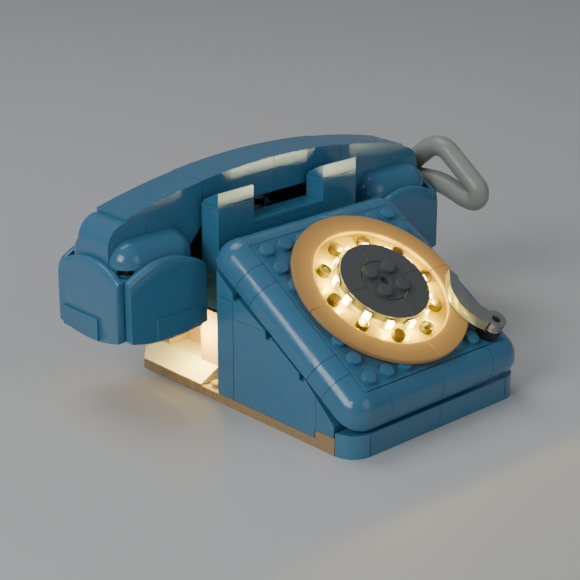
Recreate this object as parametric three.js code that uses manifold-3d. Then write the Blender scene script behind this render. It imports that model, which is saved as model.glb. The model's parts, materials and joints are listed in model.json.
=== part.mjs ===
// Brick-built model of a desk telephone with a rotary dial and a handset on a cradle.
// Millimetres, +Z up, +X to the right as seen from the front, -Y towards the front.
// The origin is the middle of the base's underside.
import * as THREE from 'three';
import { mergeVertices } from 'three/addons/utils/BufferGeometryUtils.js';
import Module from 'manifold-3d';

const wasm = await Module();
wasm.setup();

// Driving dimensions. STUD is the grid pitch in millimetres, and every other length is in studs.
const STUD = 8;
const GAP = 0.0125;          // half the joint between two neighbouring bricks
const PLATE = 0.4;           // height of a plate
const STUD_RADIUS = 0.3;
const STUD_HEIGHT = 0.2;

const BASE_HALF_WIDTH = 5;
const BASE_DEPTH = 14;
const FRONT_HEIGHT = 1;      // height of the blue front bricks
const STEP_HEIGHT = 0.75;    // tan step behind the front bricks
const REAR_CUT = 1;          // cut across each rear corner of the base
const WALL_REAR = 8;         // y of the side walls' rear edge

const FACE_TILT = 32.32;     // degrees, slope of the dial face
const FACE_CENTRE = [0, 3.672, 4.81];
const FACE_HALF = 5;
const FIELD_HALF = 4;        // studded field inside the rounded border
const BEZEL_DEPTH = 1.2;     // thickness of the rounded border
const CORNER_REACH = 3;      // corner pieces start here, measured from the face's centre

const RING_OUTER = 3.95;
const RING_INNER = 3;
const RING_BOTTOM = 0.24;
const RING_TOP = 0.45;
const PEG_COUNT = 10;
const PEG_CIRCLE = 2.5;
const PEG_RADIUS = 0.28;
const LED_COUNT = 13;
const DISC_RADIUS = 2;
const DISC_TOP = 0.8;
const STOP_PIVOT = [3.5, -3.5];

const TOWER_FRONT = 9;
const TOWER_HALF_WIDTH = 4;
const NOTCH_HALF_WIDTH = 2;
const NOTCH_FLOOR = 7.13;
const POST_SEAM = 8.09;
const POST_TOP = 8.69;

const HANDSET_CENTRE = [0.2, 11.2, 0];
const HANDLE_TOP = 9.24;
const HANDLE_BOW = 0.0154;   // drop of the handle's top per stud squared from its middle
const TOP_TILE = 0.24;       // thickness of the bowed tiles on the handle
const HANDLE_REACH = 9;      // half the length of the handset without its outer panels
const CAP_SIZE = 4;
const CAP_BOTTOM = 3.12;
const CAP_LIFT = 0.28;       // rise of a panel's foot towards its ends
const CAP_TOP = 6;
const PANEL_THICKNESS = 0.4;
const PANEL_SHOULDER = 5.96; // height of an ear panel at its ends
const PANEL_CREST = 6.6;     // and at the middle of its arch
const PATCH_TOP = 4.15;
const PATCH_RAISE = 0.08;
const CORD_RADIUS = 0.48;

// Colours
const BLUE = plastic(0x2f6f8f, 0.28);
const TAN = plastic(0xc9a46a, 0.4);
const CREAM = plastic(0xe8dcb8, 0.4);
const WHITE = plastic(0xe6e2d8, 0.35);
const DARK_GREY = plastic(0x4a4d4c, 0.35);
const BLACK = plastic(0x16171a, 0.35);
const LIGHT_GREY = plastic(0xa9aba2, 0.35);
const LAMP = plastic(0xffe2a0, 0.3);

function plastic(color, roughness) {
  return new THREE.MeshStandardMaterial({ color, roughness, metalness: 0 });
}

// ---------- helpers: all take studs and give geometry in millimetres ----------

function place(group, name, geometry, material) {
  const mesh = new THREE.Mesh(geometry, material.clone());
  mesh.name = name;
  group.add(mesh);
}

function toSolid(geometry) {
  const bare = geometry.index ? geometry.toNonIndexed() : geometry.clone();
  bare.deleteAttribute('normal');
  bare.deleteAttribute('uv');
  const merged = mergeVertices(bare, 1e-4);
  const vertProperties = new Float32Array(merged.attributes.position.array);
  const triVerts = new Uint32Array(merged.index.array);
  return new wasm.Manifold(new wasm.Mesh({ numProp: 3, vertProperties, triVerts }));
}

function toGeometry(solid) {
  const mesh = solid.getMesh();
  const geometry = new THREE.BufferGeometry();
  geometry.setAttribute('position', new THREE.BufferAttribute(new Float32Array(mesh.vertProperties), 3));
  geometry.setIndex(new THREE.BufferAttribute(new Uint32Array(mesh.triVerts), 1));
  return geometry;
}

function join(geometries) {
  const solids = geometries.map(toSolid);
  return toGeometry(solids.reduce((whole, next) => whole.add(next)));
}

function cut(geometry, tools) {
  return toGeometry(tools.map(toSolid).reduce((whole, tool) => whole.subtract(tool), toSolid(geometry)));
}

function common(geometries) {
  const solids = geometries.map(toSolid);
  return toGeometry(solids.reduce((whole, next) => whole.intersect(next)));
}

// Brick that fills a cell of the grid, less the joint round it.
function brick(x, y, z, gap = GAP) {
  const size = [x, y, z].map(([low, high]) => (high - low - 2 * gap) * STUD);
  const centre = [x, y, z].map(([low, high]) => (high + low) / 2 * STUD);
  return new THREE.BoxGeometry(...size).translate(...centre);
}

function extrude(points, depth) {
  const shape = new THREE.Shape(points.map(([a, b]) => new THREE.Vector2(a * STUD, b * STUD)));
  return new THREE.ExtrudeGeometry(shape, { depth: depth * STUD, bevelEnabled: false });
}

// Outline in the YZ plane, drawn along X from low to high.
function prismX(points, [low, high]) {
  const turned = new THREE.Matrix4().makeBasis(
    new THREE.Vector3(0, 1, 0), new THREE.Vector3(0, 0, 1), new THREE.Vector3(1, 0, 0));
  return extrude(points, high - low).applyMatrix4(turned).translate(low * STUD, 0, 0);
}

// Outline in the XZ plane, drawn along Y from low to high.
function prismY(points, [low, high]) {
  const turned = new THREE.Matrix4().makeBasis(
    new THREE.Vector3(1, 0, 0), new THREE.Vector3(0, 0, 1), new THREE.Vector3(0, -1, 0));
  return extrude(points, high - low).applyMatrix4(turned).translate(0, high * STUD, 0);
}

// Outline in the XY plane, drawn along Z from low to high.
function prismZ(points, [low, high]) {
  return extrude(points, high - low).translate(0, 0, low * STUD);
}

function arc([x, y], radius, from, to, steps = 8) {
  return Array.from({ length: steps + 1 }, (unused, i) => {
    const angle = THREE.MathUtils.degToRad(from + (to - from) * i / steps);
    return [x + radius * Math.cos(angle), y + radius * Math.sin(angle)];
  });
}

function mirrored(points) {
  return points.map(([x, y]) => [-x, y]).reverse();
}

function rod([x, y], radius, [low, high], sides = 16) {
  const height = (high - low) * STUD;
  return new THREE.CylinderGeometry(radius * STUD, radius * STUD, height, sides)
    .rotateX(Math.PI / 2)
    .translate(x * STUD, y * STUD, low * STUD + height / 2);
}

function studs(places, top) {
  return places.map((spot) => rod(spot, STUD_RADIUS, [top - 0.1, top + STUD_HEIGHT], 16));
}

function annulus(inner, outer, [low, high], from, to, steps) {
  return prismZ([...arc([0, 0], outer, from, to, steps), ...arc([0, 0], inner, to, from, steps)], [low, high]);
}

// ---------- base ----------

function basePlate() {
  const rear = BASE_DEPTH;
  const side = BASE_HALF_WIDTH;
  const plan = [
    [-side, 1 + GAP], [side, 1 + GAP], [side, rear - REAR_CUT],
    [side - REAR_CUT, rear], [-side + REAR_CUT, rear], [-side, rear - REAR_CUT],
  ];
  const step = brick([-side, side], [1, 2.12], [PLATE - 0.1, STEP_HEIGHT]);
  const rearStuds = [-4.5, 4.5].map((x) => [x, 8.55]);
  return join([prismZ(plan, [0, PLATE]), step, ...studs(rearStuds, PLATE)]);
}

function frontCorner(side) {
  const plan = [[-4 - GAP, 0], [-4 - GAP, 1 - GAP], [-5, 1 - GAP], ...arc([-4 - GAP, 1 - GAP], 1 - GAP, 180, 270).slice(1, -1)];
  const outline = side < 0 ? plan.reverse() : mirrored(plan.reverse());
  return prismZ(outline, [0, FRONT_HEIGHT]);
}

// Side wall below the dial face. Its sloping top follows the face's underside in steps.
const WALL_TOP = [
  [1.06, 1.25], [1.44, 1.6], [2.78, 2.76], [2.8, 2.58], [3.02, 2.6], [3.05, 2.86], [4.76, 3.92], [4.78, 3.74],
  [5.0, 3.76], [5.03, 4.08], [6.7, 5.0], [6.72, 4.84], [6.94, 4.86], [6.97, 5.1], [8, 5.86],
];
const WALL_SPLIT = 7;

function wallProfile(front, rear) {
  const inside = WALL_TOP.filter(([y]) => y > front && y < rear);
  const topAt = (y) => {
    const next = WALL_TOP.findIndex(([point]) => point >= y);
    const [y1, z1] = WALL_TOP[next];
    const [y0, z0] = WALL_TOP[Math.max(next - 1, 0)];
    return y1 === y0 ? z1 : z0 + (z1 - z0) * (y - y0) / (y1 - y0);
  };
  const floor = front < 2
    ? [[rear, PLATE + GAP], [2.14, PLATE + GAP], [2.14, STEP_HEIGHT + GAP], [front, STEP_HEIGHT + GAP]].reverse()
    : [[front, PLATE + GAP], [rear, PLATE + GAP]];
  return [...floor, [rear, topAt(rear)], ...inside.reverse(), [front, topAt(front)]];
}

function sideWall(side, front, rear) {
  const x = side < 0 ? [-5, -4 - GAP] : [4 + GAP, 5];
  return prismX(wallProfile(front, rear), x);
}

// Tan and blue filling between the side walls, which carries the dial face.
function bodyCore() {
  const wedge = prismX([[2.2, PLATE + GAP], [8.9, PLATE + GAP], [8.9, 5.5], [7.9, 5.8], [7.6, 5.8], [2.2, 2.6]], [-3.95, 3.95]);
  const slab = brick([-3.97, 3.97], [-3.95, 3.95], [-1.17, -0.45], 0);
  const pocket = rod([0, 0], 0.55, [-1.05, 0], 24);
  const seated = faceGroup().matrix;
  return cut(join([wedge, slab.applyMatrix4(seated)]), [pocket.applyMatrix4(seated)]);
}

// ---------- cradle ----------

function cradleFoot() {
  const foot = brick([-4, 4], [9, 10.3], [PLATE, 3.5]);
  const column = brick([-3, 3], [10.1, 12.3], [1.02, 6.7], 0);
  const deck = brick([-3.8, 3.8], [10.12, 12.3], [6.3, 6.8], 0);
  const seats = [[-3.7, -2.6], [2.6, 3.7]].map((x) => brick(x, [10.12, 12.3], [6.7, 7.12], 0));
  const places = [-1.5, -0.5, 0.5, 1.5].flatMap((x) => [[x, 10.6], [x, 11.6]]);
  return join([foot, column, deck, ...seats, ...studs(places, 6.8)]);
}

function cradleRear() {
  const wall = brick([-4, 4], [12.4, 13.2], [1.02, 7.13], 0);
  const posts = [[-4, -2], [2, 4]].map((x) => brick(x, [12.4, 13.2], [7, 8.2], 0));
  return join([wall, ...posts]);
}

function postSlope([left, right]) {
  const back = TOWER_FRONT + 1 - GAP;
  const front = TOWER_FRONT + GAP;
  const profile = [[front, POST_SEAM + GAP], [back, POST_SEAM + GAP], [back, 8.2], [front + 0.08, POST_TOP], [front, POST_TOP]];
  return prismX(profile, [left + GAP, right - GAP]);
}

// ---------- platform behind the body ----------

const DECK_TOP = 1;
const LIP_TOP = 0.47;

function platformSide(side) {
  const low = PLATE + GAP;
  const plan = [[-5, 9.1], [-4 - GAP, 9.1], [-4 - GAP, 14 - 2 * GAP], [-5, 13 - GAP]];
  const across = [[-5, low], [-4, low], [-4, DECK_TOP], [-5, LIP_TOP]];
  const along = [[9, low], [14, low], [14, LIP_TOP], [13, DECK_TOP], [9, DECK_TOP]];
  const flip = side < 0 ? (points) => points : mirrored;
  return common([prismZ(flip(plan), [low, DECK_TOP]), prismY(flip(across), [9, 14]), prismX(along, [-6, 6])]);
}

function platformRear() {
  const low = PLATE + GAP;
  return prismX([[13 + GAP, low], [14, low], [14, LIP_TOP], [13 + GAP, DECK_TOP]], [-4 + GAP, 4 - GAP]);
}

// ---------- dial face ----------

function faceGroup() {
  const group = new THREE.Group();
  group.position.set(...FACE_CENTRE.map((value) => value * STUD));
  group.rotation.x = THREE.MathUtils.degToRad(FACE_TILT);
  group.updateMatrix();
  return group;
}

function fieldStuds() {
  const lines = [-3.5, -2.5, -1.5, -0.5, 0.5, 1.5, 2.5, 3.5];
  const places = lines.flatMap((x) => lines.map((y) => [x, y]));
  const isStop = ([x, y]) => x === STOP_PIVOT[0] && y === STOP_PIVOT[1];
  return places.filter((spot) => Math.hypot(...spot) > 3.65 && !isStop(spot));
}

function facePlate() {
  const plate = brick([-FIELD_HALF, FIELD_HALF], [-FIELD_HALF, FIELD_HALF], [-PLATE, GAP]);
  return cut(join([plate, ...studs(fieldStuds(), 0)]), [rod([0, 0], 0.55, [-1, 1], 24)]);
}

// Quarter-round section of the border: flat at the field's edge, upright at the outer edge.
function bezelSection() {
  return [
    [-FIELD_HALF - GAP, -BEZEL_DEPTH], [-FIELD_HALF - GAP, -GAP],
    ...arc([-FIELD_HALF, -1], 1, 97, 180), [-FACE_HALF, -BEZEL_DEPTH],
  ].reverse();
}

function bezelSide(side, range) {
  return prismY(side < 0 ? bezelSection().reverse() : mirrored(bezelSection().reverse()), range);
}

function bezelFront(side, range) {
  const section = bezelSection().reverse();
  return prismX(side < 0 ? section : mirrored(section), range);
}

function domeCorner([x, y]) {
  const bottom = -BEZEL_DEPTH;
  const profile = [[0, bottom], [1, bottom], ...arc([0, -1], 1, 0, 90)];
  const points = profile.map(([radius, z]) => new THREE.Vector2(Math.max(radius, 0) * STUD, z * STUD));
  points[points.length - 1].x = 0;
  return new THREE.LatheGeometry(points, 32).rotateX(Math.PI / 2).translate(x * STUD, y * STUD, 0);
}

function bezelCorner(sideX, sideY) {
  const spanX = sideX < 0 ? [-FIELD_HALF, -CORNER_REACH - GAP] : [CORNER_REACH + GAP, FIELD_HALF];
  const spanY = sideY < 0 ? [-FIELD_HALF, -CORNER_REACH - GAP] : [CORNER_REACH + GAP, FIELD_HALF];
  const inner = FIELD_HALF + GAP;
  const field = brick([-inner, inner], [-inner, inner], [-2, 1], 0);
  return cut(join([
    bezelSide(sideX, spanY), bezelFront(sideY, spanX),
    domeCorner([sideX * FIELD_HALF, sideY * FIELD_HALF]),
  ]), [field]);
}

// ---------- dial ----------

function pegAngle(i) {
  return THREE.MathUtils.degToRad(360 / PEG_COUNT * i - 4);
}

// White wheel with its spindle and ten finger pegs, turning in the face's middle.
function dialWheel() {
  const pegs = Array.from({ length: PEG_COUNT }, (unused, i) => {
    const spot = [PEG_CIRCLE * Math.cos(pegAngle(i)), PEG_CIRCLE * Math.sin(pegAngle(i))];
    return rod(spot, PEG_RADIUS, [0.1, 0.44], 12);
  });
  const floor = rod([0, 0], 3.3, [0.04, 0.2], 64);
  const hub = rod([0, 0], 1.5, [0.1, 0.42], 32);
  const spindle = rod([0, 0], 0.45, [-0.95, 0.1], 24);
  return join([floor, hub, spindle, ...pegs]);
}

function ledStrip() {
  const strip = cut(rod([0, 0], 2.08, [0.235, 0.42], 48), [rod([0, 0], 1.6, [0, 1], 48)]);
  const lamps = Array.from({ length: LED_COUNT }, (unused, i) =>
    brick([1.98, 2.17], [-0.17, 0.17], [0.25, 0.6], 0).rotateZ(THREE.MathUtils.degToRad(100 + 360 / LED_COUNT * i)));
  const groove = rod([0, 0], DISC_RADIUS + 0.03, [0.42, 1], 48);
  return cut(join([strip, ...lamps]), [groove]);
}

function dialDisc() {
  return cut(rod([0, 0], DISC_RADIUS, [0.45, DISC_TOP], 48), [rod([0, 0], 1.05, [0, 1], 32)]);
}

function discCentre() {
  const plate = rod([0, 0], 1.02, [0.45, DISC_TOP], 32);
  const places = [[-0.5, -0.5], [0.5, -0.5], [0.5, 0.5], [-0.5, 0.5]];
  return cut(join([plate, ...studs(places, DISC_TOP)]), [rod([0, 0], 0.17, [0.6, 1], 12)]);
}

function stopBase() {
  return join([rod(STOP_PIVOT, 0.5, [0.03, 0.45], 24), rod(STOP_PIVOT, 0.17, [0.4, 0.9], 12)]);
}

// Curved claw over the ring: a crescent with a round eye at its foot.
function stopClaw() {
  const tip = [3.27, -0.55];
  const crescent = [tip, ...arc([4.3, -2.25], 1.88, 133, 225, 10), ...arc([5.13, -1.93], 1.97, 217, 150, 8)];
  const eye = rod(STOP_PIVOT, 0.45, [0.5, 0.95], 24);
  return cut(join([prismZ(crescent, [0.5, 0.95]), eye]), [rod(STOP_PIVOT, 0.21, [0, 2], 16)]);
}

// ---------- handset: x from its middle, y from the handle's middle ----------

function handleTopAt(x) {
  return HANDLE_TOP - HANDLE_BOW * x * x;
}

function bow(from, to, drop, steps = 8) {
  return Array.from({ length: steps + 1 }, (unused, i) => {
    const x = from + (to - from) * i / steps;
    return [x, handleTopAt(x) - drop];
  });
}

function handleCore() {
  const end = 4 - GAP;
  const underside = [[-end, 7.15], [-2.8, 7.15], [-2.4, 7.65], [2.4, 7.65], [2.8, 7.15], [end, 7.15]];
  return prismY([...underside, ...bow(end, -end, TOP_TILE)], [-1, 1]);
}

function handleEnd(side) {
  const inner = 4 + GAP;
  const outline = [
    [-HANDLE_REACH, CAP_TOP + 0.05], [-4.95, CAP_TOP + 0.05], [-inner, 7.14],
    ...bow(-inner, -8, TOP_TILE), ...arc([-8, 7.05], 1, 90, 180).slice(1),
  ];
  return prismY(side < 0 ? outline : mirrored(outline), [-1, 1]);
}

function handleTop(side) {
  const from = side < 0 ? -8 : GAP;
  const to = side < 0 ? -GAP : 8;
  return prismY([...bow(from, to, TOP_TILE - 2 * GAP), ...bow(to, from, 0)], [-1, 1]);
}

function earCore(side) {
  const x = side < 0 ? [-9, -5] : [5, 9];
  return brick(x, [-2, 2], [CAP_BOTTOM + CAP_LIFT, CAP_TOP + GAP]);
}

// Outer panel with an arched top, a slightly arched foot and a raised patch on one side of its middle.
function earPanel(side) {
  const half = CAP_SIZE / 2 - GAP;
  const crest = shallowArc(half, PANEL_SHOULDER, PANEL_CREST);
  const foot = shallowArc(half, CAP_BOTTOM + CAP_LIFT, CAP_BOTTOM).reverse();
  const thick = PANEL_THICKNESS - 2 * GAP;
  const span = side < 0 ? [-1.5, 0.8] : [-0.8, 1.5];
  const patch = brick(span, [-thick - PATCH_RAISE, -0.1], [CAP_BOTTOM + 0.06, PATCH_TOP], 0);
  return join([prismY([...foot, ...crest], [-thick, 0]), patch]);
}

// Arc from (half, end) to (-half, end) through (0, middle).
function shallowArc(half, end, middle, steps = 10) {
  return Array.from({ length: steps + 1 }, (unused, i) => {
    const x = half * (1 - 2 * i / steps);
    return [x, middle + (end - middle) * (x / half) ** 2];
  });
}

// Rounded filler between the handle and the panel: quarter-round with domed ends.
function capsule() {
  const levels = [[0, 1], [0.3, 1], ...[15, 30, 45, 60, 75, 86].map((angle) => {
    const turn = THREE.MathUtils.degToRad(angle);
    return [0.3 + Math.sin(turn), Math.cos(turn)];
  })];
  const reach = 1 - GAP;
  const rings = levels.map(([z, size]) => [
    ...arc([-1, 0], size * reach, 180, 270, 6), ...arc([1, 0], size * reach, 270, 360, 6),
  ].map(([x, y]) => [x, y, CAP_TOP + 0.04 + z]));
  return loft(rings);
}

// Closed solid through rings of points, each ring anticlockwise seen from above.
function loft(rings) {
  const count = rings[0].length;
  const points = rings.flat().flatMap((point) => point.map((value) => value * STUD));
  const faces = [];
  for (let level = 0; level < rings.length - 1; level += 1) {
    for (let i = 0; i < count; i += 1) {
      const [a, b] = [level * count + i, level * count + (i + 1) % count];
      faces.push(a, b, b + count, a, b + count, a + count);
    }
  }
  const top = (rings.length - 1) * count;
  for (let i = 1; i < count - 1; i += 1) {
    faces.push(0, i + 1, i, top, top + i, top + i + 1);
  }
  const geometry = new THREE.BufferGeometry();
  geometry.setAttribute('position', new THREE.Float32BufferAttribute(points, 3));
  geometry.setIndex(faces);
  return geometry;
}

function cord() {
  const route = new THREE.CatmullRomCurve3([
    [9.95, 0.15, 6.75], [9.95, -0.45, 7.28], [9.95, -1.1, 7.74], [9.95, -1.8, 7.82], [9.95, -2.5, 7.42],
    [9.95, -3.1, 6.98], [9.95, -3.62, 6.6], [9.95, -4.02, 6.2], [9.95, -3.9, 5.78], [9.95, -3.35, 5.72],
    [9.95, -2.6, 5.9], [9.95, -1.8, 6.08], [9.95, -0.8, 6.1], [9.95, 0.6, 5.9], [9.95, 1.6, 5.5],
  ].map(([x, y, z]) => new THREE.Vector3(x * STUD, y * STUD, z * STUD)));
  const section = new THREE.Shape(arc([0, 0], CORD_RADIUS * STUD, 0, 330, 11).map(([a, b]) => new THREE.Vector2(a, b)));
  return new THREE.ExtrudeGeometry(section, { steps: 44, extrudePath: route, bevelEnabled: false });
}

// ---------- assembly ----------

const phone = new THREE.Group();
const model = new THREE.Group();
model.position.y = -BASE_DEPTH / 2 * STUD;
phone.add(model);

place(model, 'base_plate', basePlate(), TAN);
place(model, 'front_brick', brick([-4, 4], [-GAP, 1], [-GAP, FRONT_HEIGHT + GAP]), BLUE);
place(model, 'body_core', bodyCore(), BLUE);
for (const [name, side] of [['left', -1], ['right', 1]]) {
  place(model, `front_corner_${name}`, frontCorner(side), BLUE);
  place(model, `side_wall_${name}_front`, sideWall(side, 1.06, WALL_SPLIT - GAP), BLUE);
  place(model, `side_wall_${name}_rear`, sideWall(side, WALL_SPLIT + GAP, WALL_REAR), BLUE);
  place(model, `platform_${name}`, platformSide(side), CREAM);
}
place(model, 'platform_rear', platformRear(), CREAM);
place(model, 'platform_deck', brick([-4, 4], [10.33, 13], [PLATE, DECK_TOP]), CREAM);
place(model, 'cradle_foot', cradleFoot(), TAN);
place(model, 'cradle_rear', cradleRear(), BLUE);
place(model, 'cradle_front', brick([-4, 4], [TOWER_FRONT, 10.1], [3.5, NOTCH_FLOOR]), BLUE);
for (const [name, side] of [['left', -1], ['right', 1]]) {
  const span = side < 0 ? [-TOWER_HALF_WIDTH, -NOTCH_HALF_WIDTH] : [NOTCH_HALF_WIDTH, TOWER_HALF_WIDTH];
  place(model, `post_${name}`, brick(span, [TOWER_FRONT, 10], [NOTCH_FLOOR, POST_SEAM]), BLUE);
  place(model, `post_slope_${name}`, postSlope(span), BLUE);
}

const face = faceGroup();
model.add(face);
place(face, 'face_plate', facePlate(), BLUE);
place(face, 'bezel_edge_left', bezelSide(-1, [-CORNER_REACH, CORNER_REACH]), BLUE);
place(face, 'bezel_edge_right', bezelSide(1, [-CORNER_REACH, CORNER_REACH]), BLUE);
place(face, 'bezel_edge_front', bezelFront(-1, [-CORNER_REACH, CORNER_REACH]), BLUE);
place(face, 'bezel_edge_back', bezelFront(1, [-CORNER_REACH, CORNER_REACH]), BLUE);
place(face, 'bezel_corner_front_left', bezelCorner(-1, -1), BLUE);
place(face, 'bezel_corner_front_right', bezelCorner(1, -1), BLUE);
place(face, 'bezel_corner_back_left', bezelCorner(-1, 1), BLUE);
place(face, 'bezel_corner_back_right', bezelCorner(1, 1), BLUE);
place(face, 'dial_wheel', dialWheel(), WHITE);
place(face, 'led_strip', ledStrip(), LAMP);
for (let i = 0; i < 4; i += 1) {
  const quarter = annulus(RING_INNER, RING_OUTER, [RING_BOTTOM, RING_TOP], 90 * i + 0.2, 90 * i + 89.8, 14);
  place(face, `ring_quarter_${i + 1}`, quarter, WHITE);
}
place(face, 'dial_disc', dialDisc(), DARK_GREY);
place(face, 'disc_centre', discCentre(), DARK_GREY);
place(face, 'stop_base', stopBase(), BLACK);
place(face, 'stop_claw', stopClaw(), DARK_GREY);

const handset = new THREE.Group();
handset.position.set(...HANDSET_CENTRE.map((value) => value * STUD));
model.add(handset);
place(handset, 'handle_core', handleCore(), BLUE);
for (const [name, side] of [['left', -1], ['right', 1]]) {
  const centre = side * (HANDLE_REACH - CAP_SIZE / 2) * STUD;
  const face = (CAP_SIZE / 2 + GAP) * STUD;
  place(handset, `handle_end_${name}`, handleEnd(side), BLUE);
  place(handset, `handle_top_${name}`, handleTop(side), BLUE);
  place(handset, `ear_core_${name}`, earCore(side), BLUE);
  place(handset, `ear_disc_${name}`, rod([side * 7, 0], 1.7, [CAP_BOTTOM, CAP_BOTTOM + 0.27], 32), BLACK);
  place(handset, `ear_panel_${name}_front`, earPanel(-side).translate(centre, -face, 0), BLUE);
  place(handset, `ear_panel_${name}_back`, earPanel(side).rotateZ(Math.PI).translate(centre, face, 0), BLUE);
  place(handset, `ear_panel_${name}_side`, earPanel(side).rotateZ(side * Math.PI / 2).translate(centre + side * face, 0, 0), BLUE);
  place(handset, `capsule_${name}_front`, capsule().translate(centre, -(1 + GAP) * STUD, 0), BLUE);
  place(handset, `capsule_${name}_back`, capsule().rotateZ(Math.PI).translate(centre, (1 + GAP) * STUD, 0), BLUE);
}
place(handset, 'cord', cord(), LIGHT_GREY);

export default phone;
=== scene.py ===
import json
import math

import bpy
from mathutils import Matrix, Vector


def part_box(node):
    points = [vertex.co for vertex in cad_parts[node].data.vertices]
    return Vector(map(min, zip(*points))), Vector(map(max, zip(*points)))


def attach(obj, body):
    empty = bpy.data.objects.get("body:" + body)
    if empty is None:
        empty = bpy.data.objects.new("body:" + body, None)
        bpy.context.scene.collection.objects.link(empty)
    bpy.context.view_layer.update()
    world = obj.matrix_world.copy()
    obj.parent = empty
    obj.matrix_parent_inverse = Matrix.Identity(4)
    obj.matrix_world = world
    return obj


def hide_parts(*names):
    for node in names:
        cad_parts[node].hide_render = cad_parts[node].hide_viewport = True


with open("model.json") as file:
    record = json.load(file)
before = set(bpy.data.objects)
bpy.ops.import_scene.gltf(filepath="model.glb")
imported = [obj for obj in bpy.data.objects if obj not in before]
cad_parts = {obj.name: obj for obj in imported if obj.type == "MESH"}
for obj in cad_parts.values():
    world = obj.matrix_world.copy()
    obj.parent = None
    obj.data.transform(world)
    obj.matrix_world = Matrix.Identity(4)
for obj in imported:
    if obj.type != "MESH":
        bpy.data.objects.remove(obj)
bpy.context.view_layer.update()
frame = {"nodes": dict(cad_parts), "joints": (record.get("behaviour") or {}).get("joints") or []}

# Camera: looks down on the model from its front left corner, as one looks at a telephone on a desk.
# The base is ten studs wide, which gives the pitch of the stud grid that every brick sits on.
base_low, base_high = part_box("base_plate")
stud = (base_high.x - base_low.x) / 10


def at(x, y, z):
    """Place on the grid: x from the middle, y back from the front edge, z up from the table."""
    return Vector((x * stud, (y - 7) * stud, z * stud))


LOOK_AT = at(-2.476, 6.29, 4.853)
CAMERA_TURN = math.radians(-42.77)
CAMERA_RISE = math.radians(20.75)
CAMERA_DISTANCE = 71.325 * stud
CAMERA_SENSOR = 36
CAMERA_LENS = 107.36
away = Vector((
    math.sin(CAMERA_TURN) * math.cos(CAMERA_RISE),
    -math.cos(CAMERA_TURN) * math.cos(CAMERA_RISE),
    math.sin(CAMERA_RISE)))
bpy.ops.object.camera_add(
    location=LOOK_AT + away * CAMERA_DISTANCE, rotation=(math.pi / 2 - CAMERA_RISE, 0, CAMERA_TURN))
camera = bpy.context.object
camera.data.sensor_width = CAMERA_SENSOR
camera.data.lens = CAMERA_LENS
camera.data.clip_start = stud
bpy.context.scene.camera = camera


# Floor: a plain pale studio sweep. Its paint is made with the same small kit as every finish below:
# a value that can be used in sums, and one method that adds any shader node.
class Value:
    def __init__(self, paint, socket):
        self.paint = paint
        self.socket = socket

    def math(self, operation, first, second):
        return self.paint.node("ShaderNodeMath", {"operation": operation}, {0: first, 1: second})

    def __add__(self, other):
        return self.math("ADD", self, other)

    def __radd__(self, other):
        return self.math("ADD", other, self)

    def __sub__(self, other):
        return self.math("SUBTRACT", self, other)

    def __rsub__(self, other):
        return self.math("SUBTRACT", other, self)

    def __mul__(self, other):
        return self.math("MULTIPLY", self, other)

    def __rmul__(self, other):
        return self.math("MULTIPLY", other, self)

    def between(self, low, high):
        """0 below low, 1 above high, and a straight ramp between them."""
        return self.paint.node(
            "ShaderNodeMapRange", {}, {"Value": self, "From Min": low, "From Max": high})


class Paint:
    def __init__(self, name):
        self.material = bpy.data.materials.new(name)
        self.material.use_nodes = True
        self.tree = self.material.node_tree
        self.shader = self.tree.nodes["Principled BSDF"]

    def node(self, kind, settings, inputs, output=0):
        made = self.tree.nodes.new(kind)
        for key, setting in settings.items():
            setattr(made, key, setting)
        for key, value in inputs.items():
            if isinstance(value, Value):
                self.tree.links.new(value.socket, made.inputs[key])
            else:
                made.inputs[key].default_value = value
        return Value(self, made.outputs[output])

    def place(self):
        return self.node("ShaderNodeTexCoord", {}, {}, "Object")

    def stretched(self, scale, turn=(0, 0, 0)):
        return self.node("ShaderNodeMapping", {}, {"Vector": self.place(), "Scale": scale, "Rotation": turn})

    def noise(self, scale, detail=2.0, vector=None):
        where = vector or self.place()
        return self.node("ShaderNodeTexNoise", {}, {"Vector": where, "Scale": scale, "Detail": detail})

    def mix(self, factor, low, high):
        return self.node(
            "ShaderNodeMix", {"data_type": "RGBA"}, {0: factor, 6: low, 7: high}, output=2)

    def bump(self, height, strength, distance):
        return self.node(
            "ShaderNodeBump", {}, {"Strength": strength, "Distance": distance, "Height": height}, "Normal")

    def set(self, socket, value):
        if isinstance(value, Value):
            self.tree.links.new(value.socket, self.shader.inputs[socket])
        else:
            self.shader.inputs[socket].default_value = value


paint = Paint("floor_paint")
paint.set("Base Color", paint.mix(paint.noise(3.0), (0.60, 0.59, 0.57, 1), (0.66, 0.65, 0.63, 1)))
paint.set("Roughness", 0.55)
FLOOR_SIZE = 6
bpy.ops.mesh.primitive_plane_add(size=FLOOR_SIZE)
floor = bpy.context.object
floor.name = "floor"
floor.data.materials.append(paint.material)


# Studio light: one broad soft panel on the left, a weak one in front and a high one behind, with a
# dim room round them, so that the lamps in the dial still show.
def soft_panel(name, place, size, power, tint):
    facing = (LOOK_AT - Vector(place)).to_track_quat("-Z", "Y").to_euler()
    bpy.ops.object.light_add(type="AREA", location=place, rotation=facing)
    panel = bpy.context.object
    panel.name = name
    panel.data.size = size
    panel.data.energy = power
    panel.data.color = tint


soft_panel("light_left", (-0.95, -0.12, 0.62), 0.5, 5.6, (0.93, 0.97, 1.0))
soft_panel("light_front", (0.15, -0.95, 0.5), 0.6, 1.1, (0.95, 0.98, 1.0))
soft_panel("light_high", (-0.1, 0.45, 1.0), 0.6, 3.0, (0.97, 0.98, 1.0))
room = bpy.data.worlds.new("room")
room.use_nodes = True
room.node_tree.nodes["Background"].inputs["Color"].default_value = (0.80, 0.86, 0.94, 1)
room.node_tree.nodes["Background"].inputs["Strength"].default_value = 0.2
bpy.context.scene.world = room


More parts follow.
